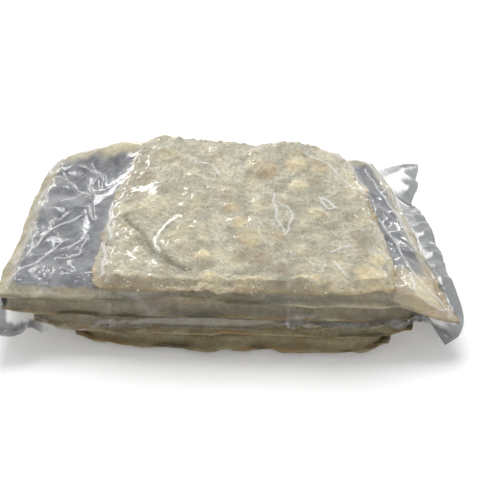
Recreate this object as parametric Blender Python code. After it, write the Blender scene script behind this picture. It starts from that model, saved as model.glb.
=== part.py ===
"""Five pieces of salted dried cod, stacked and sealed in a clear vacuum bag, as one closed solid.

The bag is two sheets of film, an upper and a lower one, joined by a thin flat seal round the stack.
Drawn tight by the vacuum, they cling to the fish: the upper sheet drops from the top piece to the
wider pieces below it, and the lower sheet rises in steps from the small bottom piece.  The front and
back walls fold in between the layers, and both ends run out into flat fins.

Metres, +Z up, +X along the bag and -Y its front.  The origin is the middle of the bag's outline, on
the surface that the bag lies on.
"""

import math

import bmesh
import bpy
from mathutils import Vector, noise

MM = 0.001

# Outline of the bag: its corners in plan, and how far each edge bows outward at its middle.
FRONT_LEFT = Vector((-151.0, -91.0)) * MM
FRONT_RIGHT = Vector((159.0, -96.0)) * MM
BACK_RIGHT = Vector((142.0, 90.0)) * MM
BACK_LEFT = Vector((-153.0, 86.0)) * MM
FRONT_BOW = 5.0 * MM
BACK_BOW = 7.0 * MM
LEFT_BOW = 4.0 * MM
RIGHT_BOW = -9.0 * MM

# The flat seal where the two sheets meet.
FIN_THICKNESS = 1.0 * MM
FIN_HEIGHT_LEFT = 30.0 * MM
FIN_HEIGHT_RIGHT = 24.0 * MM

# The fish, from the top piece down: the corners of each piece in plan, in millimetres and
# anticlockwise, its thickness, and its rise from the front edge to the back edge.
PIECES = (
    {"corners": ((-94, -96), (106, -103), (90, 78), (-80, 96)), "thickness": 10.5, "rise": 6.0},
    {"corners": ((-145, -92), (138, -100), (126, 88), (-149, 84)), "thickness": 11.0, "rise": 3.0},
    {"corners": ((-147, -93), (144, -101), (129, 88), (-145, 84)), "thickness": 12.0, "rise": 2.0},
    {"corners": ((-119, -94), (122, -101), (112, 86), (-116, 84)), "thickness": 12.0, "rise": 1.5},
    {"corners": ((-90, -94), (100, -101), (94, 84), (-86, 82)), "thickness": 11.5, "rise": 0.5},
)
EDGE_RADIUS = 6.0 * MM
# How steeply each sheet leaves the edge of a piece that stands proud of its neighbours.
UPPER_SLOPE = 1.1
LOWER_SLOPE = 0.75

# Relief of the salt-crusted top piece under the film.
RELIEF_HEIGHT = 2.2 * MM
RELIEF_SPACING = 34.0 * MM

# The front and back walls: how far the layers bulge, how far the film folds in between them, and
# how far the side seal stands out at the joint above the bottom piece.
LAYER_BULGE = 1.5 * MM
LAYER_FOLD = 2.5 * MM
SEAL_REACH = 4.0 * MM

CELLS_ALONG = 48
CELLS_ACROSS = 24
ROWS_PER_LAYER = 2
CELLS_UP = ROWS_PER_LAYER * len(PIECES)
SEAL_ROW = ROWS_PER_LAYER
SMOOTHING_PASSES = 3
# Where the sheets are closer than this, the walls between them have no rows of their own.
THIN_WALL = 6.0 * MM

FILM_COLOUR = (0.62, 0.60, 0.52, 1.0)
FILM_ROUGHNESS = 0.12


def mix(start, end, amount):
    """The value part of the way from start to end."""
    return start + (end - start) * amount


def ease(amount):
    """A smooth step from 0 to 1, flat at both ends."""
    amount = min(max(amount, 0.0), 1.0)
    return amount * amount * (3.0 - 2.0 * amount)


def plan_point(along, across):
    """Plan position at fractions along (left to right) and across (front to back) the outline."""
    left_x = mix(FRONT_LEFT.x, BACK_LEFT.x, across) - LEFT_BOW * math.sin(math.pi * across)
    right_x = mix(FRONT_RIGHT.x, BACK_RIGHT.x, across) + RIGHT_BOW * math.sin(math.pi * across)
    front_y = mix(FRONT_LEFT.y, FRONT_RIGHT.y, along) - FRONT_BOW * math.sin(math.pi * along)
    back_y = mix(BACK_LEFT.y, BACK_RIGHT.y, along) + BACK_BOW * math.sin(math.pi * along)
    return Vector((mix(left_x, right_x, along), mix(front_y, back_y, across)))


def distance_outside(point, corners):
    """Signed distance from a plan point to a convex outline: negative inside it."""
    farthest = -1.0
    for index, corner in enumerate(corners):
        start = Vector(corner) * MM
        end = Vector(corners[(index + 1) % len(corners)]) * MM
        side = (end - start).normalized()
        outward = Vector((side.y, -side.x))
        farthest = max(farthest, outward.dot(point - start))
    return farthest


def rounded_drop(distance, slope):
    """How far a sheet lies below a piece's face, at a distance outside the piece's outline."""
    drop = slope * max(distance, 0.0)
    inset = min(max(distance + EDGE_RADIUS, 0.0), EDGE_RADIUS) / EDGE_RADIUS
    return drop + EDGE_RADIUS * (1.0 - math.sqrt(1.0 - 0.75 * inset * inset))


def layer_heights(point):
    """(bottom, top) of each piece at a plan point, from the top piece down."""
    depth = ease((point.y - FRONT_RIGHT.y) / (BACK_RIGHT.y - FRONT_RIGHT.y))
    heights = []
    for index, piece in enumerate(PIECES):
        below = sum(lower["thickness"] for lower in PIECES[index + 1:]) * MM
        lift = sum(lower["rise"] for lower in PIECES[index + 1:]) * MM * depth
        bottom = below + lift
        top = bottom + (piece["thickness"] + piece["rise"] * depth) * MM
        heights.append((bottom, top))
    return heights


def relief(point):
    """Uneven height of the top piece at a plan point."""
    sample = Vector((point.x, point.y, 0.0)) / RELIEF_SPACING
    return RELIEF_HEIGHT * noise.fractal(sample, 1.0, 2.0, 3)


def fin_height(along):
    """Height of the flat seal at a fraction along the bag."""
    return mix(FIN_HEIGHT_LEFT, FIN_HEIGHT_RIGHT, along)


def sheet_heights(along, across):
    """(lower, upper) heights of the two sheets of film over one plan position."""
    point = plan_point(along, across)
    seal = fin_height(along)
    upper = seal + 0.5 * FIN_THICKNESS
    lower = seal - 0.5 * FIN_THICKNESS
    for index, (bottom, top) in enumerate(layer_heights(point)):
        outside = distance_outside(point, PIECES[index]["corners"])
        if index == 0:
            top += relief(point)
        upper = max(upper, top - rounded_drop(outside, UPPER_SLOPE))
        lower = min(lower, bottom + rounded_drop(outside, LOWER_SLOPE))
    return lower, upper


def smoothed(grid):
    """The grid of heights with each inner value drawn towards its neighbours, as taut film is."""
    result = [row[:] for row in grid]
    for i in range(1, len(grid) - 1):
        for j in range(1, len(grid[0]) - 1):
            around = grid[i - 1][j] + grid[i + 1][j] + grid[i][j - 1] + grid[i][j + 1]
            result[i][j] = 0.5 * grid[i][j] + 0.125 * around
    return result


def spaced(count):
    """Fractions from 0 to 1 that crowd a little towards both ends."""
    fractions = []
    for index in range(count + 1):
        even = index / count
        fractions.append(mix(even, 0.5 - 0.5 * math.cos(math.pi * even), 0.6))
    return fractions


def wall_offset(row, fullness):
    """How far a wall's row stands out from the outline, where the pack is as full as given."""
    if row == SEAL_ROW:
        return SEAL_REACH * fullness
    if row % ROWS_PER_LAYER == 0:
        return -LAYER_FOLD * fullness
    return LAYER_BULGE * fullness


def add_film_material(target):
    """Clear glossy film over pale fish, as one overall colour."""
    material = bpy.data.materials.new("bag_film")
    material.use_nodes = True
    shader = material.node_tree.nodes["Principled BSDF"]
    shader.inputs["Base Color"].default_value = FILM_COLOUR
    shader.inputs["Roughness"].default_value = FILM_ROUGHNESS
    shader.inputs["Metallic"].default_value = 0.0
    target.data.materials.append(material)


def make_grid_box():
    """A box of one unit a cell, with a grid of vertices on every face and none inside."""
    mesh = bmesh.new()
    bmesh.ops.create_cube(mesh, size=1.0)
    size = Vector((CELLS_ALONG, CELLS_ACROSS, CELLS_UP))
    for vert in mesh.verts:
        vert.co = Vector(((vert.co[axis] + 0.5) * size[axis] for axis in range(3)))
    for axis, count in enumerate((CELLS_ALONG, CELLS_ACROSS, CELLS_UP)):
        normal = Vector((0.0, 0.0, 0.0))
        normal[axis] = 1.0
        for cut in range(1, count):
            everything = mesh.verts[:] + mesh.edges[:] + mesh.faces[:]
            bmesh.ops.bisect_plane(mesh, geom=everything, dist=1e-5, plane_co=normal * cut, plane_no=normal)
    return mesh


def shape_bag(mesh):
    """Move the box's vertices onto the two sheets and onto the walls between them."""
    along = spaced(CELLS_ALONG)
    across = spaced(CELLS_ACROSS)
    pairs = [[sheet_heights(u, v) for v in across] for u in along]
    lower = [[pair[0] for pair in row] for row in pairs]
    upper = [[pair[1] for pair in row] for row in pairs]
    for _ in range(SMOOTHING_PASSES):
        lower = smoothed(lower)
        upper = smoothed(upper)
    for vert in mesh.verts:
        i, j, row = (round(value) for value in vert.co)
        point = plan_point(along[i], across[j])
        low = max(lower[i][j], 0.0)
        high = max(upper[i][j], low + FIN_THICKNESS)
        share = row / CELLS_UP
        if high - low < THIN_WALL:
            share = round(share)
        if j in (0, CELLS_ACROSS):
            outward = -1.0 if j == 0 else 1.0
            fullness = ease((high - low - THIN_WALL) / (20.0 * MM))
            point.y += outward * wall_offset(row, fullness)
        vert.co = (point.x, point.y, mix(low, high, share))
    bmesh.ops.remove_doubles(mesh, verts=mesh.verts[:], dist=1e-6)


def centre_on_origin(mesh):
    """Slide the bag in plan so that the middle of its outline is the origin."""
    for axis in (0, 1):
        places = [vert.co[axis] for vert in mesh.verts]
        middle = 0.5 * (min(places) + max(places))
        for vert in mesh.verts:
            vert.co[axis] -= middle


def build_bag(collection):
    """The sealed bag of fish as one closed object."""
    mesh = make_grid_box()
    shape_bag(mesh)
    centre_on_origin(mesh)
    bmesh.ops.triangulate(mesh, faces=mesh.faces[:])
    bmesh.ops.recalc_face_normals(mesh, faces=mesh.faces[:])
    data = bpy.data.meshes.new("sealed_bag")
    mesh.to_mesh(data)
    mesh.free()
    data.shade_smooth()
    bag = bpy.data.objects.new("sealed_bag", data)
    collection.objects.link(bag)
    add_film_material(bag)
    return bag


def main():
    for old in list(bpy.data.objects):
        bpy.data.objects.remove(old, do_unlink=True)
    collection = bpy.data.collections.new("salted_cod_pack")
    bpy.context.scene.collection.children.link(collection)
    build_bag(collection)


main()
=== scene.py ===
"""Salted dried cod: five pieces stacked in a clear vacuum bag, with loose salt between film and fish.

The fish is modelled first, piece by piece.  The bag is then cut as two flat sheets of film, sealed
round their edges, and drawn down on the stack by a small cloth solver.
"""

import math
import random

import bmesh
import bpy
import numpy as np
from mathutils import Euler, Matrix, Quaternion, Vector, noise
from mathutils.bvhtree import BVHTree


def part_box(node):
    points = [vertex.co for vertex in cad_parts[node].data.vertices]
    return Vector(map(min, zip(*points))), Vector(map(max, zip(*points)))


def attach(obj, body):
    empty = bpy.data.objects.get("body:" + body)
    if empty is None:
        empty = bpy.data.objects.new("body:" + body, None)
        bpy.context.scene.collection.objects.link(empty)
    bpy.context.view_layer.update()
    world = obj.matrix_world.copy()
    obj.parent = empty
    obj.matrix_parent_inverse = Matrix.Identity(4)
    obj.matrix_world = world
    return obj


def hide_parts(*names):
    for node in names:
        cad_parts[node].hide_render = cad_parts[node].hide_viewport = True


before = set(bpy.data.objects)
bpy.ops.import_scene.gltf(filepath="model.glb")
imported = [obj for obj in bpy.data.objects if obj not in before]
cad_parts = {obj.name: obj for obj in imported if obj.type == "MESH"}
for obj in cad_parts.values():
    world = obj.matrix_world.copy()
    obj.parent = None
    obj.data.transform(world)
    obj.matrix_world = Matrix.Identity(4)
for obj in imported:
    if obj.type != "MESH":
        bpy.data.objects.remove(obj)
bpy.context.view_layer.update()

MM = 0.001
PACK_LOW, PACK_HIGH = (Vector(corner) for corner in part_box("sealed_bag"))
PACK_DEPTH = PACK_HIGH.y - PACK_LOW.y

# ---------------------------------------------------------------- the fish

# From the top piece down: corners in plan anticlockwise from front left, thickness, and rise from
# front to back, in millimetres; then the cells along and across, and the seed of the piece's noise.
PIECES = {
    "top_fillet": {"corners": ((-99, -96), (111, -103), (93, 78), (-84, 98)), "thickness": 10.4,
                   "rise": 6.0, "cells": (160, 150), "seed": 3},
    "skin_side_fillet": {"corners": ((-159, -92), (150, -101), (119, 88), (-158, 86)), "thickness": 10.8,
                         "rise": 3.0, "cells": (180, 120), "seed": 11},
    "third_fillet": {"corners": ((-163, -94), (130, -101), (114, 88), (-152, 84)), "thickness": 11.7,
                     "rise": 2.0, "cells": (190, 90), "seed": 23},
    "fourth_fillet": {"corners": ((-143, -96), (126, -105), (108, 86), (-128, 84)), "thickness": 11.7,
                      "rise": 1.5, "cells": (180, 90), "seed": 37},
    "bottom_fillet": {"corners": ((-118, -98), (113, -109), (96, 84), (-96, 82)), "thickness": 11.2,
                      "rise": 0.5, "cells": (160, 90), "seed": 41},
}
LAYER_GAP = 0.5 * MM
# The right end sags: how far, and the share of it that each joint takes, from the floor up.
END_SAG = 15 * MM
JOINT_SAGS = (0.0, 0.1, 0.35, 1.0, 1.0, 0.3)
WALL_ROWS = 7
# How much of each piece's cut edge is dark: partly wet flesh, partly painted shade on walls that face away from the
# light.
DAMP_AND_SHADED_WALLS = {"top_fillet": 0.0, "skin_side_fillet": 0.55, "third_fillet": 0.6, "fourth_fillet": 0.1, "bottom_fillet": -0.25}
CORNER_ROUNDINGS = (0.14, 0.05, 0.10, 0.14, 0.18)


def mix(start, end, amount):
    """The value part of the way from start to end."""
    return start + (end - start) * amount


def smooth_step(amount):
    """A smooth step from 0 to 1, flat at both ends."""
    amount = min(max(amount, 0.0), 1.0)
    return amount * amount * (3.0 - 2.0 * amount)


def joint_height(level, x, y):
    """Height of the joint over so many pieces, counted from the floor: it undulates a little."""
    depth = smooth_step((y - PACK_LOW.y) / PACK_DEPTH)
    height = 0.4 * MM
    for piece in list(PIECES.values())[len(PIECES) - level:]:
        height += (piece["thickness"] + piece["rise"] * depth) * MM
    sag = END_SAG * smooth_step((x - 98 * MM) / (52 * MM))
    height -= sag * JOINT_SAGS[level]
    if 0 < level < len(PIECES):
        height += 2.4 * MM * wave(x, y, 52 * MM, 60 + level) + 0.9 * MM * wave(x, y, 15 * MM, 70 + level)
    return height


def grid_slab(cells, rows):
    """A closed slab from -1 to 1 in plan and 0 to 1 in height, with a grid on top and below."""
    mesh = bmesh.new()
    bmesh.ops.create_grid(mesh, x_segments=cells[0], y_segments=cells[1], size=1.0)
    grown = bmesh.ops.extrude_face_region(mesh, geom=mesh.faces[:], use_keep_orig=True)
    top = [item for item in grown["geom"] if isinstance(item, bmesh.types.BMVert)]
    bmesh.ops.translate(mesh, vec=(0.0, 0.0, 1.0), verts=top)
    uprights = [edge for edge in mesh.edges if abs(edge.verts[0].co.z - edge.verts[1].co.z) > 0.5]
    bmesh.ops.subdivide_edges(mesh, edges=uprights, cuts=rows - 1, use_grid_fill=False)
    bmesh.ops.recalc_face_normals(mesh, faces=mesh.faces[:])
    return mesh


def wave(x, y, spacing, seed, octaves=2):
    """Smooth noise of about -1 to 1 over the plan, with bumps about one spacing apart."""
    return noise.fractal(Vector((x / spacing, y / spacing, seed * 7.31)), 1.0, 2.0, octaves)


def cobble(x, y, spacing, seed):
    """Rounded lumps about one spacing apart: 1 at a lump's middle, 0 in the creases."""
    distances, _ = noise.voronoi(Vector((x / spacing, y / spacing, seed * 3.7)))
    return min((distances[1] - distances[0]) * 1.6, 1.0)


def slab_plan(corners, rounding, u, v):
    """Plan position of a slab's point at u along and v across, each from -1 to 1."""
    squeeze_u = u * math.sqrt(1.0 - rounding * v ** 4)
    squeeze_v = v * math.sqrt(1.0 - rounding * u ** 4)
    along = 0.5 + 0.5 * squeeze_u
    across = 0.5 + 0.5 * squeeze_v
    front = Vector(corners[0]).lerp(Vector(corners[1]), along)
    back = Vector(corners[3]).lerp(Vector(corners[2]), along)
    return front.lerp(back, across) * MM


def streak(x, z, seed):
    """Noise drawn out along a piece's edge, as the cut fibres of the flesh are."""
    return noise.fractal(Vector((x / (30 * MM), z / (2.6 * MM), seed * 5.3)), 1.0, 2.0, 3)


def spot(x, y, centre, radius):
    """1 at the middle of a round patch, falling smoothly to 0 at its edge, in millimetres."""
    away = math.hypot(x / MM - centre[0], y / MM - centre[1]) / radius
    return smooth_step(1.0 - away)


def groove(x, y, route, width):
    """1 on a line through the given points, falling to 0 a width away, in millimetres."""
    point = Vector((x / MM, y / MM))
    nearest = 1e9
    for start, end in zip(route, route[1:]):
        start, end = Vector(start), Vector(end)
        run = end - start
        share = min(max((point - start).dot(run) / run.length_squared, 0.0), 1.0)
        nearest = min(nearest, (point - start - run * share).length)
    return smooth_step(1.0 - nearest / width)


# Marks on the top piece, in millimetres: (middle, radius, height, creaminess, stain).
TOP_LUMPS = (
    ((-21, -66), 9, 2.4, 1.0, 0.1), ((9, -48), 12, 1.2, 0.9, 0.3), ((3, -30), 8, 1.0, 0.9, 0.3),
    ((-3, -11), 8, 1.0, 0.8, 0.35), ((22, 40), 15, 2.0, 0.7, 0.45), ((45, 43), 13, 1.8, 1.0, 0.15),
    ((46, 17), 11, 1.8, 1.0, 0.0), ((65, 44), 15, 1.4, 0.6, 0.35), ((58, -18), 11, 0.8, 0.7, 0.0),
    ((86, -86), 14, 2.0, 1.0, 0.2), ((94, -70), 10, 1.4, 0.9, 0.15), ((88, -98), 11, 1.0, 0.9, 0.35),
    ((48, -92), 12, 1.6, 0.8, 0.0), ((-16, -92), 14, 1.8, 0.8, 0.0), ((12, -94), 12, 1.4, 0.7, 0.0),
    ((-34, -46), 24, 2.4, 0.35, 0.0), ((-60, -6), 20, 1.6, 0.35, 0.1), ((-72, -66), 24, 1.4, 0.2, 0.0),
    ((-62, 60), 18, 1.8, 0.25, 0.1), ((-20, 66), 16, 1.0, 0.2, 0.0),
)
TOP_STAINS = (
    ((-71, 28), 15, 0.5), ((17, -70), 12, 0.65), ((30, -80), 12, 0.55), ((18, -88), 9, 0.4), ((28, -44), 12, 0.45),
    ((-76, 8), 12, 0.35), ((62, 50), 14, 0.35), ((58, -90), 9, 0.55), ((8, -22), 7, 0.4), ((70, -100), 12, 0.45),
    ((20, 30), 12, 0.4),
)
# Broad swells of the top piece: (middle, radius, height).
TOP_SWELLS = (
    ((-62, 84), 48, 3.6), ((44, 76), 30, 4.2), ((14, 82), 16, -1.6), ((88, 74), 26, -4.0), ((-78, -40), 34, 1.6),
    ((20, -20), 50, 1.6), ((-20, 40), 40, -1.6), ((70, 10), 40, -1.4), ((-84, 96), 26, -5.0),
)
TOP_CLEFT = ((-79, -25), (-63, -42), (-56, -56), (-47, -66), (-37, -74), (-29, -78))
TOP_HOLLOW = ((-64, -48), (-56, -61), (-46, -71), (-35, -79))


def top_look(x, y, inside):
    """Height, creaminess, stain, and dampness with painted shade in its cleft, of the top piece at a plan point."""
    broad = 1.8 * MM * wave(x, y, 38 * MM, 3)
    bumps = 2.0 * MM * (cobble(x, y, 14 * MM, 4) - 0.5) + 1.1 * MM * (cobble(x, y, 5.5 * MM, 9) - 0.5)
    grit = 0.45 * MM * wave(x, y, 3.0 * MM, 5, 2)
    cream = 0.35 * smooth_step(1.6 * wave(x, y, 20 * MM, 6) + 0.1)
    stain = 0.4 * smooth_step(1.8 * wave(x, y, 13 * MM, 7) - 0.25)
    damp_and_shade = 0.45 * smooth_step(1.8 * wave(x, y, 9 * MM, 8) - 0.05)
    height = broad + bumps + grit
    for centre, radius, lift in TOP_SWELLS:
        height += lift * MM * spot(x, y, centre, radius)
    for centre, radius, lift, tone, tan in TOP_LUMPS:
        ragged = radius * (1.0 + 0.35 * wave(x, y, 6 * MM, 12))
        share = min(1.7 * spot(x, y, centre, ragged), 1.0)
        height += lift * MM * share
        cream += tone * share * (1.0 - cream)
        stain += tan * share * (1.0 - stain)
    for centre, radius, strength in TOP_STAINS:
        stain += strength * spot(x, y, centre, radius * (1.0 + 0.4 * wave(x, y, 5 * MM, 13))) * (1.0 - stain)
    stray = 1.6 * MM * wave(x, y, 6 * MM, 15)
    cleft = groove(x + stray, y - stray, TOP_CLEFT, 3.0)
    hollow = groove(x + stray, y - stray, TOP_HOLLOW, 7.0 + 3.0 * wave(x, y, 9 * MM, 14))
    height -= MM * (2.4 * cleft + 2.2 * hollow)
    # The cleft and the hollow darken and lose their cream: painted shade in the recesses.
    damp_and_shade = max(damp_and_shade, 0.9 * cleft, 0.6 * hollow)
    cream *= 1.0 - max(cleft, hollow)
    front = smooth_step((-70 * MM - y) / (14 * MM))
    scallop = smooth_step(1.0 - inside / (16 * MM)) * cobble(x, y, 12 * MM, 21)
    height += (0.8 + 1.0 * front) * MM * scallop
    cream += (0.4 + 0.5 * front) * scallop * (1.0 - cream)
    # The front lip is brown along two stretches.
    lip = front * smooth_step(1.0 - inside / (10 * MM))
    brown = lip * min(0.25 + spot(x, y, (-70, -100), 36) + 0.8 * spot(x, y, (32, -104), 40), 1.0)
    return height - 1.2 * MM, cream * (1.0 - 0.7 * brown), max(stain, 0.9 * brown), max(damp_and_shade, 0.6 * brown)


def plain_look(name):
    """Height, creaminess, stain and dampness for a piece that mostly lies under others."""
    seed = PIECES[name]["seed"]

    def look(x, y, inside):
        height = 0.5 * MM * (cobble(x, y, 9 * MM, seed) - 1.0)
        cream = 0.4 * smooth_step(1.5 * wave(x, y, 22 * MM, seed + 6) + 0.2)
        stain = 0.5 * smooth_step(1.6 * wave(x, y, 17 * MM, seed + 7))
        return height, cream, stain, 0.35
    return look


def second_look(x, y, inside):
    """Looks of the second piece: its back left part slopes up against the top piece."""
    height, cream, stain, damp_and_shade = plain_look("skin_side_fillet")(x, y, inside)
    wedge = smooth_step((y - 50 * MM) / (30 * MM)) * min(max((x + 154 * MM) / (60 * MM), 0.0), 1.0)
    wedge *= smooth_step((-58 * MM - x) / (18 * MM))
    right_end = smooth_step((x - 96 * MM) / (30 * MM)) * smooth_step((-20 * MM - y) / (40 * MM))
    orange = right_end * smooth_step(1.0 - inside / (18 * MM))
    stain = max(stain * (1.0 - wedge), 0.75 * orange)
    return height + 17 * MM * wedge, max(cream, 0.5 * wedge, 0.7 * right_end), stain, damp_and_shade * (1.0 - max(wedge, right_end))


def skin_share(x, y, inside, share):
    """How far the upturned side of the second piece is covered by skin: it ends short of its rim."""
    edge = 5.0 * MM + 3.0 * MM * wave(x, y, 14 * MM, 31)
    far_right = smooth_step((x - 120 * MM + 0.12 * y + 5 * MM * wave(x, y, 16 * MM, 32)) / (9 * MM))
    front_right = smooth_step((x - 88 * MM) / (14 * MM)) * smooth_step((-56 * MM - y) / (12 * MM))
    back_left = smooth_step((y - 66 * MM + 5 * MM * wave(x, y, 12 * MM, 33)) / (8 * MM))
    covered = smooth_step((inside - edge) / (4 * MM)) * smooth_step((share - 0.75) * 6.0)
    return covered * (1.0 - max(far_right, front_right, back_left))


def shape_slab(name, mesh, look_at):
    """Bend a grid slab into one piece of fish; returns its looks, a list of values for each name."""
    piece = PIECES[name]
    seed = piece["seed"]
    order = list(PIECES).index(name)
    level = len(PIECES) - 1 - order
    middle = sum((Vector(corner) for corner in piece["corners"]), Vector((0.0, 0.0))) * MM / 4.0
    looks = {"cream": [], "stain": [], "damp_and_shade": [], "skin": []}
    for vert in mesh.verts:
        u, v, share = vert.co
        point = slab_plan(piece["corners"], CORNER_ROUNDINGS[order], u, v)
        thickness = piece["thickness"] * MM
        half_span = (point - middle).length
        inside = min((1.0 - abs(u)) * 110 * MM, (1.0 - abs(v)) * 92 * MM)
        near_rim = smooth_step(1.0 - inside / (14 * MM))
        # The outline wanders, the cut edge is ragged, and the rim bulges at half height.
        wander = 2.4 * MM * wave(point.x, point.y, 34 * MM, seed)
        ragged = 1.2 * MM * streak(point.x + point.y, share * thickness * 0.6, seed + 1)
        bulge = 0.42 * thickness * (math.sqrt(max(1.0 - (2.0 * share - 1.0) ** 2, 0.0)) - 1.0)
        if half_span > 0.0:
            lobes = (2.4 if order == 0 else 0.8) * MM * (cobble(point.x, point.y, 15 * MM, seed + 8) - 0.6)
            shift = (wander + lobes) * near_rim + (0.6 * ragged + bulge) * smooth_step(1.0 - inside / (12 * MM))
            point += (point - middle) / half_span * shift
        height, cream, stain, damp_and_shade = look_at(point.x, point.y, inside)
        worn = smooth_step(1.0 - inside / (0.75 * thickness)) * 0.34 * thickness
        upper = joint_height(level + 1, point.x, point.y) - LAYER_GAP - worn + height
        lower = joint_height(level, point.x, point.y) + 0.8 * worn
        if level < 2:
            lower += 6.0 * MM * smooth_step(1.0 - (1.0 - abs(u)) * 110 * MM / (16 * MM))
        if level == 0:
            lower += 6.0 * MM * near_rim * max(wave(point.x, point.y, 24 * MM, 90), 0.0)
        vert.co = (point.x, point.y, mix(lower, upper, share))
        side = smooth_step(1.0 - inside / (3 * MM)) * smooth_step((1.0 - share) * 9.0)
        fibres = streak(point.x + point.y, vert.co.z, seed)
        under = side * smooth_step((0.9 - share) * 2.4)
        patch = wave(point.x, vert.co.z, 30 * MM, seed + 10)
        dark = smooth_step(DAMP_AND_SHADED_WALLS[name] + 1.4 * streak(point.x, vert.co.z, seed + 9) + 1.1 * patch)
        looks["cream"].append(cream * (1.0 - 0.6 * side) + 0.5 * side * smooth_step(1.4 * fibres - patch))
        # Below, the top piece's cut edge turns ochre towards its foot and darkens there: the darkening is painted
        # shade under its rim. Each lower piece's cut edge darkens in bands at its top and foot: painted shade in the
        # joints between the pieces.
        looks["stain"].append(max(stain, side * smooth_step(0.35 - 1.3 * fibres) * 0.8, 0.85 * under * (order == 0)))
        joint = smooth_step((0.18 - share) * 7.0) + smooth_step((share - 0.84) * 7.0)
        dark = max(dark, 0.85 * joint) if order else 0.5 * smooth_step((0.9 - share) * 2.4)
        looks["damp_and_shade"].append(max(damp_and_shade, side * dark))
        bare = name != "skin_side_fillet"
        looks["skin"].append(0.0 if bare else skin_share(point.x, point.y, inside, share))
    return looks


def make_fillet(name, look_at, material):
    """One piece of fish as an object, with its looks as vertex attributes."""
    mesh = grid_slab(PIECES[name]["cells"], WALL_ROWS)
    looks = shape_slab(name, mesh, look_at)
    data = bpy.data.meshes.new(name)
    mesh.to_mesh(data)
    mesh.free()
    data.shade_smooth()
    data.materials.append(material)
    fillet = bpy.data.objects.new(name, data)
    bpy.context.scene.collection.objects.link(fillet)
    for look, values in looks.items():
        write_attribute(fillet, look, values)
    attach(fillet, "root")
    return fillet


def write_attribute(thing, name, values):
    """Store one value for each vertex."""
    attribute = thing.data.attributes.new(name, "FLOAT", "POINT")
    attribute.data.foreach_set("value", np.asarray(values, dtype=np.float32))


# ---------------------------------------------------------------- the film

SHEET_LENGTH = 328 * MM
SHEET_WIDTH = 236 * MM
# The upper sheet takes more of the bag's girth than the lower one, so the side seals lie low.
GIRTH_SHARES = np.array((0.94, 1.06)).reshape(2, 1, 1, 1)
BAG_MIDDLE = Vector((4.0 * MM, -4.0 * MM))
SEAL_WIDTHS = (9 * MM, 6 * MM)
SEAL_HEIGHT = 25 * MM
FIELD_STEP = 2.5 * MM
FILM_CLEARANCE = 0.5 * MM
SHEET_GAP = 0.3 * MM
FILM_GRIP = 0.5
LINK_TURNS = 12
CREASE_CELL = 1.1 * MM
# Cell size, steps, how hard the vacuum presses, how much a pressed link pushes back, and bending.
FILM_LEVELS = (
    (8 * MM, 250, 1.2 * MM, 0.3, 0.05),
    (4 * MM, 120, 0.6 * MM, 0.4, 0.08),
    (2 * MM, 80, 0.3 * MM, 0.6, 0.05),
)


class DistanceField:
    """Signed distance to the stack on a grid of points, and its slope, for many points at once."""

    def __init__(self, objects, step):
        verts = []
        faces = []
        for thing in objects:
            offset = len(verts)
            verts += [vert.co.copy() for vert in thing.data.vertices]
            faces += [[index + offset for index in face.vertices] for face in thing.data.polygons]
        tree = BVHTree.FromPolygons(verts, faces)
        cloud = np.array([tuple(vert) for vert in verts])
        margin = 12 * MM
        self.low = cloud.min(axis=0) - margin
        self.step = step
        self.shape = tuple(int(n) + 2 for n in (cloud.max(axis=0) + margin - self.low) / step)
        self.values = np.full(self.shape, margin)
        for i in range(self.shape[0]):
            for j in range(self.shape[1]):
                for k in range(self.shape[2]):
                    spot = Vector((self.low[0] + i * step, self.low[1] + j * step, self.low[2] + k * step))
                    nearest, normal, _, gap = tree.find_nearest(spot, margin)
                    if nearest is not None:
                        self.values[i, j, k] = gap if (spot - nearest).dot(normal) >= 0.0 else -gap

    def sample(self, points):
        """Distance and outward direction at points, read between the grid's values."""
        place = (points - self.low) / self.step
        limit = np.array(self.shape) - 2
        cell = np.clip(np.floor(place).astype(int), 0, limit)
        part = np.clip(place - cell, 0.0, 1.0)
        x, y, z = cell.T
        fx, fy, fz = part.T
        corner = {}
        for dx in (0, 1):
            for dy in (0, 1):
                for dz in (0, 1):
                    corner[dx, dy, dz] = self.values[x + dx, y + dy, z + dz]
        x_low = {(dy, dz): corner[0, dy, dz] for dy in (0, 1) for dz in (0, 1)}
        x_high = {(dy, dz): corner[1, dy, dz] for dy in (0, 1) for dz in (0, 1)}
        across = {key: x_low[key] * (1 - fx) + x_high[key] * fx for key in x_low}
        value_low = across[0, 0] * (1 - fy) + across[1, 0] * fy
        value_high = across[0, 1] * (1 - fy) + across[1, 1] * fy
        distance = value_low * (1 - fz) + value_high * fz
        slope_z = value_high - value_low
        slope_y = (across[1, 0] - across[0, 0]) * (1 - fz) + (across[1, 1] - across[0, 1]) * fz
        rise = {key: x_high[key] - x_low[key] for key in x_low}
        slope_x = (rise[0, 0] * (1 - fy) + rise[1, 0] * fy) * (1 - fz) + (rise[0, 1] * (1 - fy) + rise[1, 1] * fy) * fz
        slope = np.stack((slope_x, slope_y, slope_z), axis=1)
        slope /= np.maximum(np.linalg.norm(slope, axis=1, keepdims=True), 1e-9)
        return distance, slope

def sheet_normals(sheets):
    """Outward unit normals of both sheets: the lower one faces down and the upper one up."""
    along = np.gradient(sheets, axis=1)
    across = np.gradient(sheets, axis=2)
    normals = np.cross(along, across)
    normals /= np.maximum(np.linalg.norm(normals, axis=3, keepdims=True), 1e-12)
    normals[0] *= -1.0
    return normals


def pull_links(near, far, rest, slack, stiffness):
    """Draw linked points to their rest length: fully when stretched, in part when pressed together."""
    reach = far - near
    length = np.maximum(np.sqrt((reach * reach).sum(axis=-1, keepdims=True)), 1e-9)
    excess = length - rest
    share = np.where(excess > 0.0, stiffness, stiffness * slack)
    move = reach * (0.5 * share * excess / length)
    near += move
    far -= move


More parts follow.
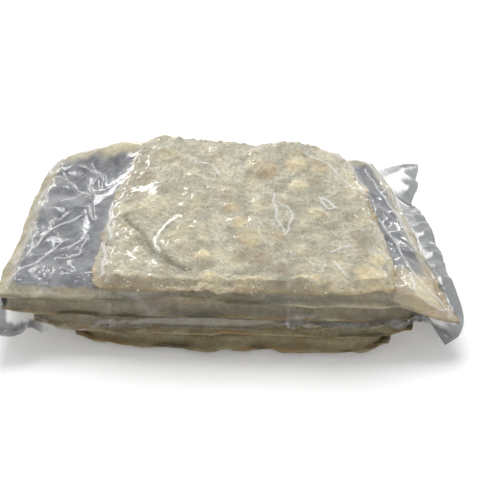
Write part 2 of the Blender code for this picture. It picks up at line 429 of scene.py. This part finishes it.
def relax_links(sheets, cell, push_back, bending):
    """One pass over the film's threads, its diagonals and its resistance to sharp folds."""
    long_cell, wide_cell = cell
    diagonal = np.hypot(long_cell, wide_cell)
    for odd in (0, 1):
        near, far = sheets[:, odd:-1:2], sheets[:, odd + 1::2]
        pull_links(near, far, long_cell, push_back, 1.0)
        near, far = sheets[:, :, odd:-1:2], sheets[:, :, odd + 1::2]
        pull_links(near, far, wide_cell, push_back, 1.0)
        pull_links(sheets[:, odd:-1:2, :-1], sheets[:, odd + 1::2, 1:], diagonal, push_back, 0.5)
        pull_links(sheets[:, odd:-1:2, 1:], sheets[:, odd + 1::2, :-1], diagonal, push_back, 0.5)
    if bending > 0.0:
        for start in (0, 1, 2, 3):
            near, far = sheets[:, start:-2:4], sheets[:, start + 2::4]
            spread_links(near, far, 2.0 * long_cell, bending)
            near, far = sheets[:, :, start:-2:4], sheets[:, :, start + 2::4]
            spread_links(near, far, 2.0 * wide_cell, bending)


def spread_links(near, far, rest, stiffness):
    """Push apart points two cells apart where the film is folded sharply between them."""
    reach = far - near
    length = np.maximum(np.sqrt((reach * reach).sum(axis=-1, keepdims=True)), 1e-9)
    short = np.minimum(length - rest, 0.0)
    move = reach * (0.5 * stiffness * short / length)
    near += move
    far -= move


def part_sheets(sheets, normals, gap):
    """Keep the upper sheet at least a gap outside the lower one, point for point."""
    outward = normals[1] - normals[0]
    outward /= np.maximum(np.linalg.norm(outward, axis=2, keepdims=True), 1e-9)
    apart = ((sheets[1] - sheets[0]) * outward).sum(axis=2, keepdims=True)
    push = outward * np.maximum(gap - apart, 0.0) * 0.5
    sheets[1] += push
    sheets[0] -= push


def weld_seals(sheets, seal_cells):
    """Hold the two sheets together along the flat seals round the bag."""
    along, across = seal_cells
    middle = sheets.mean(axis=0)
    for sheet in sheets:
        sheet[:along] = middle[:along]
        sheet[-along:] = middle[-along:]
        sheet[:, :across] = middle[:, :across]
        sheet[:, -across:] = middle[:, -across:]


def clear_stack(sheets, field):
    """Move points out of the fish and the floor; returns where they touch and the way out."""
    points = sheets.reshape(-1, 3)
    distance, slope = field.sample(points)
    short = np.maximum(FILM_CLEARANCE - distance, 0.0)
    points += slope * short[:, None]
    np.maximum(points[:, 2], 0.1 * MM, out=points[:, 2])
    touching = (distance < 2.0 * FILM_CLEARANCE).reshape(sheets.shape[:3])
    return touching, slope.reshape(sheets.shape)


def finer(sheets, shape):
    """The same two sheets read along smooth curves on a grid of another shape."""
    for axis, count in ((1, shape[0]), (2, shape[1])):
        last = sheets.shape[axis] - 1
        place = np.linspace(0.0, last, count)
        low = np.minimum(place.astype(int), last - 1)
        wide = [1, 1, 1, 1]
        wide[axis] = count
        t = (place - low).reshape(wide)
        weights = (-0.5 * t + t ** 2 - 0.5 * t ** 3, 1.0 - 2.5 * t ** 2 + 1.5 * t ** 3,
                   0.5 * t + 2.0 * t ** 2 - 1.5 * t ** 3, -0.5 * t ** 2 + 0.5 * t ** 3)
        blended = 0.0
        for offset, weight in zip((-1, 0, 1, 2), weights):
            blended = blended + weight * np.take(sheets, np.clip(low + offset, 0, last), axis=axis)
        sheets = blended
    return sheets


# Folds drawn in the upper sheet: plan routes in millimetres, half width and height.
FOLDS = (
    (((-143, -53), (-135, -24), (-114, -4)), 1.1, 1.0), (((-140, -54), (-145, -29), (-149, -20)), 0.9, 0.9),
    (((-139, -38), (-137, -24)), 0.8, 0.8), (((-133, -11), (-124, 0)), 0.8, 0.8), (((-134, 14), (-119, 23)), 0.9, 0.9),
    (((-149, -80), (-141, -66), (-134, -59), (-127, -46), (-119, -36)), 0.9, 0.9),
    (((-121, -55), (-107, -54), (-105, -38)), 0.8, 0.8), (((-116, -45), (-106, -34)), 0.8, 0.7),
    (((-150, -8), (-142, -29)), 0.7, 0.7), (((-151, 25), (-144, 15), (-146, 5), (-152, 15), (-151, 25)), 0.8, 0.8),
    (((-134, -64), (-131, -77)), 0.6, 0.5), (((-130, -64), (-128, -76)), 0.6, 0.5),
    (((-126, -64), (-125, -75)), 0.6, 0.5), (((-122, -65), (-121, -76)), 0.6, 0.5),
    (((-140, 52), (-126, 30), (-112, 20)), 0.8, 0.7), (((-128, 62), (-112, 48)), 0.8, 0.6),
    (((-118, 60), (-106, 40), (-104, 26)), 0.8, 0.6), (((-112, 8), (-104, -14)), 0.8, 0.7),
    (((84, 14), (99, 9), (106, -15), (113, -33), (118, -59), (126, -74), (134, -86), (140, -96)), 1.0, 1.0),
    (((118, -67), (117, -86)), 1.4, 1.2), (((119, -90), (130, -92), (140, -97)), 0.9, 0.8),
    (((113, 69), (120, 44), (128, 14)), 0.9, 0.8), (((104, 62), (112, 30), (124, -10), (132, -40)), 0.9, 0.8),
    (((27, 4), (29, -27), (34, -45), (40, -27), (38, -12), (29, -6)), 0.9, 0.7),
    (((62, 0), (68, -3), (72, -12), (65, -14), (62, 0)), 1.2, 0.8),
    (((64, -64), (71, -57), (77, -57)), 0.8, 0.6), (((64, -72), (68, -80), (73, -88)), 0.8, 0.6),
    (((-92, -2), (-89, -30), (-85, -48)), 1.8, 0.9), (((-90, -50), (-86, -66), (-85, -84)), 1.6, 0.7),
    (((54, 58), (70, 44), (82, 22), (88, 8)), 0.9, 0.7), (((-34, 50), (-20, 44), (-12, 30)), 0.8, 0.4),
)


def hand_folds(points):
    """Height and sharpness of the listed folds at an array of plan points."""
    height = np.zeros(points.shape[:2])
    crest = np.zeros(points.shape[:2])
    x, y = points[..., 0] / MM, points[..., 1] / MM
    wobble = np.stack((np.sin(y / 3.1 + x / 7.0), np.sin(x / 2.7 - y / 8.0)), axis=2)
    points = points + 0.7 * MM * wobble
    for route, width, lift in FOLDS:
        nearest = np.full(points.shape[:2], 1.0)
        for start, end in zip(route, route[1:]):
            start = np.array(start) * MM
            run = np.array(end) * MM - start
            share = np.clip(((points - start) @ run) / (run @ run), 0.0, 1.0)
            nearest = np.minimum(nearest, np.linalg.norm(points - start - share[..., None] * run, axis=2))
        line = np.exp(-(nearest / (width * MM)) ** 2)
        height = np.maximum(height, lift * MM * line)
        crest = np.maximum(crest, line ** 2)
    return height, crest


def crease_height(u, v, x, y):
    """Height and sharpness of the chance creases at a flat place and the plan point under it."""
    bend = 6 * MM * wave(u, v, 30 * MM, 101)
    line = abs(wave(u + bend, v - bend, 26 * MM, 102, 1))
    sharp = math.exp(-(line / 0.07) ** 2)
    chosen = smooth_step(2.2 * wave(u, v, 34 * MM, 103, 1) - 0.3)
    ends = smooth_step((abs(x) - 100 * MM) / (14 * MM))
    crease = sharp * mix(0.55 * chosen, 0.45, ends)
    # Short pleats across the front and left rims of the top piece.
    front_rim = math.exp(-((y + 92 * MM) / (9 * MM)) ** 2) * smooth_step((104 * MM - abs(x)) / (12 * MM))
    left_rim = math.exp(-((x + 84 * MM - 0.12 * y) / (7 * MM)) ** 2)
    pleat = 0.45 * front_rim * wave(x / 2.6, y / 16, 1 * MM, 104) * (0.4 + abs(wave(x, y, 20 * MM, 105)))
    pleat += 0.4 * left_rim * wave((x + y) / 16, (y - x) / 3.0, 1 * MM, 106)
    return (crease * 0.8 + pleat) * MM, 0.5 * crease + 0.9 * max(pleat - 0.06, 0.0)


def crease_film(sheets):
    """Raise the fine creases and pleats that the solver's cells are too coarse to hold."""
    shape = (int(SHEET_LENGTH / CREASE_CELL) + 1, int(SHEET_WIDTH / CREASE_CELL) + 1)
    sheets = finer(sheets, shape)
    normals = sheet_normals(sheets)
    crests = np.zeros(sheets.shape[:3])
    flat_u = np.linspace(-0.5, 0.5, shape[0]) * SHEET_LENGTH
    flat_v = np.linspace(-0.5, 0.5, shape[1]) * SHEET_WIDTH
    for side in (0, 1):
        heights = np.zeros(shape)
        for i, u in enumerate(flat_u):
            for j, v in enumerate(flat_v):
                x, y, _ = sheets[side, i, j]
                heights[i, j], crests[side, i, j] = crease_height(u + 0.7 * (1 - side), v, x, y)
        if side == 1:
            drawn, sharp = hand_folds(sheets[side, ..., :2])
            heights = np.maximum(heights, drawn)
            crests[side] = np.maximum(crests[side], sharp)
        sheets[side] += normals[side] * heights[..., None] * (1.0 if side else 0.5)
    np.maximum(sheets[..., 2], 0.1 * MM, out=sheets[..., 2])
    return sheets, np.clip(crests, 0.0, 1.0)


def inflated_bag(shape):
    """The bag as two domes, sealed round their edges, that stand clear of the stack."""
    u = np.linspace(-1.0, 1.0, shape[0])[:, None]
    v = np.linspace(-1.0, 1.0, shape[1])[None, :]
    sheets = np.zeros((2,) + shape + (3,))
    dome = (1.0 - u ** 6) * (1.0 - v ** 6)
    sheets[..., 0] = BAG_MIDDLE.x + 0.5 * SHEET_LENGTH * u
    sheets[..., 1] = BAG_MIDDLE.y + 0.5 * SHEET_WIDTH * v
    sheets[0, ..., 2] = SEAL_HEIGHT - 34 * MM * dome
    sheets[1, ..., 2] = SEAL_HEIGHT + 66 * MM * dome
    return sheets


def draw_down(field, rng):
    """Draw the film down on the fish, from coarse cells to fine ones."""
    sheets = None
    for cell_size, steps, press, push_back, bending in FILM_LEVELS:
        shape = (int(SHEET_LENGTH / cell_size) + 1, int(SHEET_WIDTH / cell_size) + 1)
        cell = (SHEET_LENGTH / (shape[0] - 1), SHEET_WIDTH / (shape[1] - 1) * GIRTH_SHARES)
        seal_cells = tuple(max(int(width / cell_size), 1) for width in SEAL_WIDTHS)
        sheets = inflated_bag(shape) if sheets is None else finer(sheets, shape)
        sheets += rng.normal(0.0, 0.02 * cell_size, sheets.shape)
        weld_seals(sheets, seal_cells)
        for step in range(steps):
            fade = 1.0 - 0.8 * step / steps
            before = sheets.copy()
            normals = sheet_normals(sheets)
            sheets -= normals * press * fade
            for turn in range(LINK_TURNS):
                relax_links(sheets, cell, push_back, bending)
                weld_seals(sheets, seal_cells)
                if turn % 3 == 2:
                    part_sheets(sheets, normals, SHEET_GAP)
                    touching, slope = clear_stack(sheets, field)
            moved = sheets - before
            drawn_out = slope * (moved * slope).sum(axis=3, keepdims=True)
            held = np.where(touching[..., None], FILM_GRIP, 0.0)
            sheets -= held * (moved - drawn_out)
    return sheets


def make_sheet(name, grid, upward):
    """One sheet of film as an object, with its flat position as its UV map, in metres."""
    count_long, count_wide = grid.shape[:2]
    mesh = bmesh.new()
    uv_layer = mesh.loops.layers.uv.new("flat")
    bmesh.ops.create_grid(mesh, x_segments=count_long - 1, y_segments=count_wide - 1, size=1.0, calc_uvs=False)
    for face in mesh.faces:
        for loop in face.loops:
            place = loop.vert.co
            loop[uv_layer].uv = (place.x * SHEET_LENGTH * 0.5, place.y * SHEET_WIDTH * 0.5)
    for vert in mesh.verts:
        i = round((vert.co.x + 1.0) * 0.5 * (count_long - 1))
        j = round((vert.co.y + 1.0) * 0.5 * (count_wide - 1))
        vert.co = grid[i, j]
    if not upward:
        bmesh.ops.reverse_faces(mesh, faces=mesh.faces[:])
    data = bpy.data.meshes.new(name)
    mesh.to_mesh(data)
    mesh.free()
    data.shade_smooth()
    sheet = bpy.data.objects.new(name, data)
    bpy.context.scene.collection.objects.link(sheet)
    return sheet


# ---------------------------------------------------------------- the salt

SALT_GRAINS = 7000
SALT_SIZES = (0.45 * MM, 1.3 * MM)


def scatter_salt(fillet, material, rng):
    """Coarse salt on the top piece: small stretched cubes, half sunk in the flesh, denser in some parts."""
    tree = BVHTree.FromPolygons([vert.co for vert in fillet.data.vertices],
                                [face.vertices[:] for face in fillet.data.polygons])
    mesh = bmesh.new()
    placed = 0
    while placed < SALT_GRAINS:
        x = rng.uniform(-98, 106) * MM
        y = rng.uniform(-100, 96) * MM
        if wave(x, y, 17 * MM, 120) + 0.35 < rng.uniform(-0.1, 0.9):
            continue
        spot_on, normal, _, _ = tree.ray_cast(Vector((x, y, 0.2)), Vector((0.0, 0.0, -1.0)))
        placed += 1
        if spot_on is None or normal.z < 0.35:
            continue
        size = mix(*SALT_SIZES, rng.random() ** 2.2)
        turn = Euler([rng.uniform(0.0, math.tau) for _ in range(3)]).to_matrix().to_4x4()
        stretch = Matrix.Diagonal((size, size * rng.uniform(0.6, 1.0), size * rng.uniform(0.5, 0.9), 1.0))
        bmesh.ops.create_cube(mesh, size=1.0, matrix=Matrix.Translation(spot_on) @ turn @ stretch)
    data = bpy.data.meshes.new("salt_grains")
    mesh.to_mesh(data)
    mesh.free()
    data.materials.append(material)
    grains = bpy.data.objects.new("salt_grains", data)
    bpy.context.scene.collection.objects.link(grains)
    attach(grains, "root")


# ---------------------------------------------------------------- materials


def new_material(name):
    """A node material with nothing in it but its output; returns the material, nodes and links."""
    material = bpy.data.materials.new(name)
    material.use_nodes = True
    nodes = material.node_tree.nodes
    nodes.clear()
    return material, nodes, material.node_tree.links


def srgb(red, green, blue):
    """Linear colour of a swatch given as three numbers up to 255."""
    channels = []
    for value in (red, green, blue):
        value /= 255.0
        channels.append(value / 12.92 if value <= 0.04045 else ((value + 0.055) / 1.055) ** 2.4)
    return (*channels, 1.0)


def noise_node(nodes, links, place, scale, detail=3.0, roughness=0.55):
    """A noise texture on object coordinates; returns its value output."""
    texture = nodes.new("ShaderNodeTexNoise")
    texture.inputs["Scale"].default_value = scale
    texture.inputs["Detail"].default_value = detail
    texture.inputs["Roughness"].default_value = roughness
    links.new(place, texture.inputs["Vector"])
    return texture.outputs["Fac"]


def ramp(nodes, links, value, low, high):
    """A value stretched so that low becomes 0 and high becomes 1."""
    spread = nodes.new("ShaderNodeMapRange")
    spread.interpolation_type = "SMOOTHSTEP"
    spread.inputs["From Min"].default_value = low
    spread.inputs["From Max"].default_value = high
    links.new(value, spread.inputs["Value"])
    return spread.outputs["Result"]


def blend_colour(nodes, links, amount, first, second):
    """A colour between two, each a socket or a fixed colour."""
    blend = nodes.new("ShaderNodeMix")
    blend.data_type = "RGBA"
    links.new(amount, blend.inputs["Factor"])
    for slot, value in (("A", first), ("B", second)):
        socket = next(item for item in blend.inputs if item.name == slot and item.type == "RGBA")
        if isinstance(value, tuple):
            socket.default_value = value
        else:
            links.new(value, socket)
    return next(item for item in blend.outputs if item.type == "RGBA")


def attribute_node(nodes, name):
    """The value of a vertex attribute."""
    node = nodes.new("ShaderNodeAttribute")
    node.attribute_name = name
    return node.outputs["Fac"]


def product(nodes, links, first, second):
    """Two values multiplied; the second may be a plain number."""
    node = nodes.new("ShaderNodeMath")
    node.operation = "MULTIPLY"
    links.new(first, node.inputs[0])
    if isinstance(second, float):
        node.inputs[1].default_value = second
    else:
        links.new(second, node.inputs[1])
    return node.outputs["Value"]


SKIN_COLOURS = {"skin": srgb(92, 95, 102), "skin_pale": srgb(150, 152, 155), "scale_edge": srgb(78, 80, 86)}
TOP_COLOURS = {"pale": srgb(220, 215, 196), "grey": srgb(182, 177, 158), "cream": srgb(245, 232, 190),
               "ochre": srgb(160, 130, 88), "damp_and_shade": srgb(132, 128, 106), "speck": srgb(140, 134, 112), **SKIN_COLOURS}
# The lower pieces' flesh is yellower and darker than the top piece's; their darkest colour serves both dampness and
# painted shade in the joints.
INNER_COLOURS = {"pale": srgb(194, 183, 150), "grey": srgb(168, 159, 128), "cream": srgb(212, 197, 152),
                 "ochre": srgb(158, 124, 76), "damp_and_shade": srgb(74, 68, 46), "speck": srgb(130, 118, 86), **SKIN_COLOURS}


def make_fish_material(name, colours):
    """Salted fish: granular pale flesh, cream lumps, ochre stains, dampness with painted shade in hollows and joints,
    and slate skin.
    """
    material, nodes, links = new_material(name)
    place = nodes.new("ShaderNodeTexCoord").outputs["Object"]
    broad = ramp(nodes, links, noise_node(nodes, links, place, 60.0), 0.36, 0.64)
    fine = ramp(nodes, links, noise_node(nodes, links, place, 330.0, 6.0, 0.85), 0.44, 0.62)
    flesh = blend_colour(nodes, links, broad, colours["pale"], colours["grey"])
    flesh = blend_colour(nodes, links, product(nodes, links, fine, 0.7), flesh, colours["speck"])
    flesh = blend_colour(nodes, links, attribute_node(nodes, "cream"), flesh, colours["cream"])
    flesh = blend_colour(nodes, links, attribute_node(nodes, "stain"), flesh, colours["ochre"])
    flesh = blend_colour(nodes, links, attribute_node(nodes, "damp_and_shade"), flesh, colours["damp_and_shade"])
    flesh = blend_colour(nodes, links, product(nodes, links, fine, 0.36), flesh, colours["speck"])
    mottle = ramp(nodes, links, noise_node(nodes, links, place, 90.0, 5.0, 0.65), 0.36, 0.66)
    skin = blend_colour(nodes, links, mottle, colours["skin"], colours["skin_pale"])
    scales = nodes.new("ShaderNodeTexVoronoi")
    scales.inputs["Scale"].default_value = 560.0
    links.new(place, scales.inputs["Vector"])
    skin = blend_colour(nodes, links, product(nodes, links, scales.outputs["Distance"], 0.45), skin, colours["scale_edge"])
    colour = blend_colour(nodes, links, attribute_node(nodes, "skin"), flesh, skin)
    shader = nodes.new("ShaderNodeBsdfPrincipled")
    links.new(colour, shader.inputs["Base Color"])
    gloss = nodes.new("ShaderNodeMapRange")
    gloss.inputs["To Min"].default_value = 0.36
    gloss.inputs["To Max"].default_value = 0.6
    links.new(broad, gloss.inputs["Value"])
    links.new(gloss.outputs["Result"], shader.inputs["Roughness"])
    shader.inputs["Subsurface Weight"].default_value = 0.15
    shader.inputs["Subsurface Scale"].default_value = 0.002
    bump = nodes.new("ShaderNodeBump")
    bump.inputs["Strength"].default_value = 0.9
    bump.inputs["Distance"].default_value = 0.001
    links.new(noise_node(nodes, links, place, 520.0, 5.0, 0.7), bump.inputs["Height"])
    links.new(bump.outputs["Normal"], shader.inputs["Normal"])
    output = nodes.new("ShaderNodeOutputMaterial")
    links.new(shader.outputs["BSDF"], output.inputs["Surface"])
    return material


def make_salt_material():
    """Damp white salt, a little uneven in brightness."""
    material, nodes, links = new_material("coarse_salt")
    place = nodes.new("ShaderNodeTexCoord").outputs["Object"]
    shader = nodes.new("ShaderNodeBsdfPrincipled")
    tint = blend_colour(nodes, links, noise_node(nodes, links, place, 500.0), srgb(226, 222, 208), srgb(196, 190, 172))
    links.new(tint, shader.inputs["Base Color"])
    shader.inputs["Roughness"].default_value = 0.28
    output = nodes.new("ShaderNodeOutputMaterial")
    links.new(shader.outputs["BSDF"], output.inputs["Surface"])
    return material


def make_film_material():
    """Clear film: it reflects the lamps on every crease, with a painted white highlight along its sharp creases, and
    is painted grey in the flat fins.
    """
    material, nodes, links = new_material("clear_film")
    place = nodes.new("ShaderNodeTexCoord").outputs["Object"]
    facing = nodes.new("ShaderNodeLayerWeight")
    facing.inputs["Blend"].default_value = 0.5
    power = nodes.new("ShaderNodeMath")
    power.operation = "POWER"
    power.inputs[1].default_value = 4.0
    links.new(facing.outputs["Facing"], power.inputs[0])
    share = nodes.new("ShaderNodeMapRange")
    share.inputs["To Min"].default_value = 0.05
    share.inputs["To Max"].default_value = 0.9
    links.new(power.outputs["Value"], share.inputs["Value"])
    clear = nodes.new("ShaderNodeBsdfTransparent")
    # Painted grey: where the two sheets lie close in the end fins the film is tinted grey, for the darker surroundings
    # seen through them.
    tint = blend_colour(nodes, links, attribute_node(nodes, "fin"), (0.97, 0.97, 0.965, 1.0), (0.50, 0.51, 0.515, 1.0))
    links.new(tint, clear.inputs["Color"])
    gloss = nodes.new("ShaderNodeBsdfGlossy")
    gloss.inputs["Color"].default_value = (1.0, 1.0, 1.0, 1.0)
    gloss.inputs["Roughness"].default_value = 0.09
    bump = nodes.new("ShaderNodeBump")
    bump.inputs["Strength"].default_value = 0.15
    bump.inputs["Distance"].default_value = 0.001
    links.new(noise_node(nodes, links, place, 160.0, 2.0), bump.inputs["Height"])
    links.new(bump.outputs["Normal"], gloss.inputs["Normal"])
    both = nodes.new("ShaderNodeMixShader")
    links.new(share.outputs["Result"], both.inputs["Fac"])
    links.new(clear.outputs["BSDF"], both.inputs[1])
    links.new(gloss.outputs["BSDF"], both.inputs[2])
    # Painted highlight: a white diffuse layer along the sharp creases stands in for the lamps' glints on them.
    crease_highlight = nodes.new("ShaderNodeBsdfDiffuse")
    crease_highlight.inputs["Color"].default_value = (0.95, 0.95, 0.94, 1.0)
    with_crease_highlight = nodes.new("ShaderNodeMixShader")
    links.new(product(nodes, links, attribute_node(nodes, "crease"), 0.55), with_crease_highlight.inputs["Fac"])
    links.new(both.outputs["Shader"], with_crease_highlight.inputs[1])
    links.new(crease_highlight.outputs["BSDF"], with_crease_highlight.inputs[2])
    output = nodes.new("ShaderNodeOutputMaterial")
    links.new(with_crease_highlight.outputs["Shader"], output.inputs["Surface"])
    return material


# ---------------------------------------------------------------- studio

CAMERA_TARGET = Vector((10 * MM, -22.7 * MM, 30 * MM))
CAMERA_ELEVATION = math.radians(35)
CAMERA_DISTANCE = 0.5
STRIP_WIDTH = 0.035
# How strongly the floor glows for the camera near the pack and far from it: painted light.
FLOOR_LIFTS = (0.13, 0.6)


def add_camera():
    """The camera, level and square on to the pack's front."""
    lens = bpy.data.cameras.new("camera")
    lens.sensor_width = 36.0
    lens.lens = 36.0 * 680 / 500
    camera = bpy.data.objects.new("camera", lens)
    back = Vector((0.0, -math.cos(CAMERA_ELEVATION), math.sin(CAMERA_ELEVATION)))
    camera.location = CAMERA_TARGET + back * CAMERA_DISTANCE
    camera.rotation_euler = (math.pi / 2 - CAMERA_ELEVATION, 0.0, 0.0)
    bpy.context.scene.collection.objects.link(camera)
    bpy.context.scene.camera = camera


def add_strip_lamp(name, place, length, turn, watts):
    """A long narrow white lamp that faces the pack; turn is its angle about its own aim."""
    lamp = bpy.data.lights.new(name, "AREA")
    lamp.shape = "RECTANGLE"
    lamp.size = length
    lamp.size_y = STRIP_WIDTH
    lamp.energy = watts
    strip = bpy.data.objects.new(name, lamp)
    strip.location = place
    aim = (-Vector(place)).to_track_quat("-Z", "Y")
    strip.rotation_euler = (aim @ Quaternion((0.0, 0.0, 1.0), turn)).to_euler()
    bpy.context.scene.collection.objects.link(strip)


def add_panel_lamp(name, place, width, watts):
    """A large soft square lamp that faces the pack and leaves no patches of glare on the film."""
    lamp = bpy.data.lights.new(name, "AREA")
    lamp.size = width
    lamp.energy = watts
    panel = bpy.data.objects.new(name, lamp)
    panel.location = place
    panel.rotation_euler = (-Vector(place)).to_track_quat("-Z", "Y").to_euler()
    panel.visible_glossy = False
    bpy.context.scene.collection.objects.link(panel)


def add_world(fill):
    """Even white fill light, with a plain white backdrop behind the pack."""
    world = bpy.data.worlds.new("studio")
    world.use_nodes = True
    nodes = world.node_tree.nodes
    links = world.node_tree.links
    nodes.clear()
    path = nodes.new("ShaderNodeLightPath")
    seen = nodes.new("ShaderNodeMath")
    seen.operation = "MAXIMUM"
    links.new(path.outputs["Is Camera Ray"], seen.inputs[0])
    links.new(path.outputs["Is Transmission Ray"], seen.inputs[1])
    shown = nodes.new("ShaderNodeMath")
    shown.operation = "MAXIMUM"
    links.new(seen.outputs["Value"], shown.inputs[0])
    links.new(path.outputs["Is Glossy Ray"], shown.inputs[1])
    level = nodes.new("ShaderNodeMapRange")
    level.inputs["To Min"].default_value = fill
    level.inputs["To Max"].default_value = 1.0
    links.new(shown.outputs["Value"], level.inputs["Value"])
    background = nodes.new("ShaderNodeBackground")
    background.inputs["Color"].default_value = (1.0, 1.0, 1.0, 1.0)
    links.new(level.outputs["Result"], background.inputs["Strength"])
    output = nodes.new("ShaderNodeOutputWorld")
    links.new(background.outputs["Background"], output.inputs["Surface"])
    bpy.context.scene.world = world


def add_floor():
    """A pale matt floor that also glows for the camera: painted light, faint near the pack and stronger far away."""
    mesh = bmesh.new()
    bmesh.ops.create_grid(mesh, x_segments=8, y_segments=8, size=4.0)
    data = bpy.data.meshes.new("floor")
    mesh.to_mesh(data)
    mesh.free()
    floor = bpy.data.objects.new("floor", data)
    bpy.context.scene.collection.objects.link(floor)
    material, nodes, links = new_material("floor_paint")
    place = nodes.new("ShaderNodeTexCoord").outputs["Object"]
    shader = nodes.new("ShaderNodeBsdfDiffuse")
    grain = noise_node(nodes, links, place, 6.0)
    colour = blend_colour(nodes, links, grain, (0.91, 0.91, 0.91, 1.0), (0.93, 0.93, 0.93, 1.0))
    links.new(colour, shader.inputs["Color"])
    # Painted light: the floor glows for camera rays, faintly near the pack and more strongly far from it.
    path = nodes.new("ShaderNodeLightPath")
    lift = nodes.new("ShaderNodeEmission")
    away = nodes.new("ShaderNodeVectorMath")
    away.operation = "LENGTH"
    links.new(place, away.inputs[0])
    level = nodes.new("ShaderNodeMapRange")
    level.interpolation_type = "SMOOTHSTEP"
    level.inputs["From Min"].default_value = 0.35
    level.inputs["From Max"].default_value = 2.5
    level.inputs["To Min"].default_value, level.inputs["To Max"].default_value = FLOOR_LIFTS
    links.new(away.outputs["Value"], level.inputs["Value"])
    brightness = product(nodes, links, path.outputs["Is Camera Ray"], level.outputs["Result"])
    links.new(brightness, lift.inputs["Strength"])
    both = nodes.new("ShaderNodeAddShader")
    links.new(shader.outputs["BSDF"], both.inputs[0])
    links.new(lift.outputs["Emission"], both.inputs[1])
    output = nodes.new("ShaderNodeOutputMaterial")
    links.new(both.outputs["Shader"], output.inputs["Surface"])
    data.materials.append(material)


# ---------------------------------------------------------------- the whole pack


def main():
    bpy.context.scene.view_settings.view_transform = "Standard"
    add_camera()
    add_world(0.40)
    add_panel_lamp("back_panel", (0.0, 0.46, 1.15), 0.75, 11.5)
    add_panel_lamp("front_panel", (0.20, -1.10, 0.75), 0.7, 3.2)
    add_strip_lamp("back_strip", (-0.24, 0.66, 0.58), 0.22, 0.8, 0.24)
    add_strip_lamp("left_strip", (-0.75, 0.10, 0.70), 0.7, math.pi / 2, 0.8)
    add_strip_lamp("back_left_strip", (-0.55, 0.75, 0.42), 0.6, math.pi / 2, 0.45)
    add_strip_lamp("back_right_strip", (0.60, 0.72, 0.45), 0.6, math.pi / 2, 0.45)
    add_floor()

    special_looks = {"top_fillet": top_look, "skin_side_fillet": second_look}
    fillets = {}
    for name in PIECES:
        upper = name in special_looks
        material = make_fish_material(name + "_flesh", TOP_COLOURS if upper else INNER_COLOURS)
        fillets[name] = make_fillet(name, special_looks.get(name) or plain_look(name), material)
    scatter_salt(fillets["top_fillet"], make_salt_material(), random.Random(8))
    field = DistanceField(fillets.values(), FIELD_STEP)
    sheets, crests = crease_film(draw_down(field, np.random.default_rng(5)))
    apart = np.linalg.norm(sheets[1] - sheets[0], axis=2)
    # The fin values mask the film's painted grey in the end fins.
    fin = np.clip(1.6 - apart / (1.2 * MM), 0.0, 1.0)
    along = np.abs(np.linspace(-1.0, 1.0, fin.shape[0]))[:, None]
    fin *= np.clip((along - 0.78) / 0.08, 0.0, 1.0)
    film = make_film_material()
    for side, name in enumerate(("film_lower", "film_upper")):
        sheet = make_sheet(name, sheets[side], side == 1)
        write_attribute(sheet, "fin", grid_values(sheet, fin))
        # The crease values mask the film's painted white highlight.
        write_attribute(sheet, "crease", grid_values(sheet, crests[side]))
        sheet.data.materials.append(film)
        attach(sheet, "root")
        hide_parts("sealed_bag")


def grid_values(sheet, grid):
    """The values of a grid at each vertex of a sheet, found from its flat place."""
    flat = sheet.data.uv_layers["flat"].data
    values = np.zeros(len(sheet.data.vertices))
    for loop in sheet.data.loops:
        u, v = flat[loop.index].uv
        i = round((u / SHEET_LENGTH + 0.5) * (grid.shape[0] - 1))
        j = round((v / SHEET_WIDTH + 0.5) * (grid.shape[1] - 1))
        values[loop.vertex_index] = grid[i, j]
    return values


main()
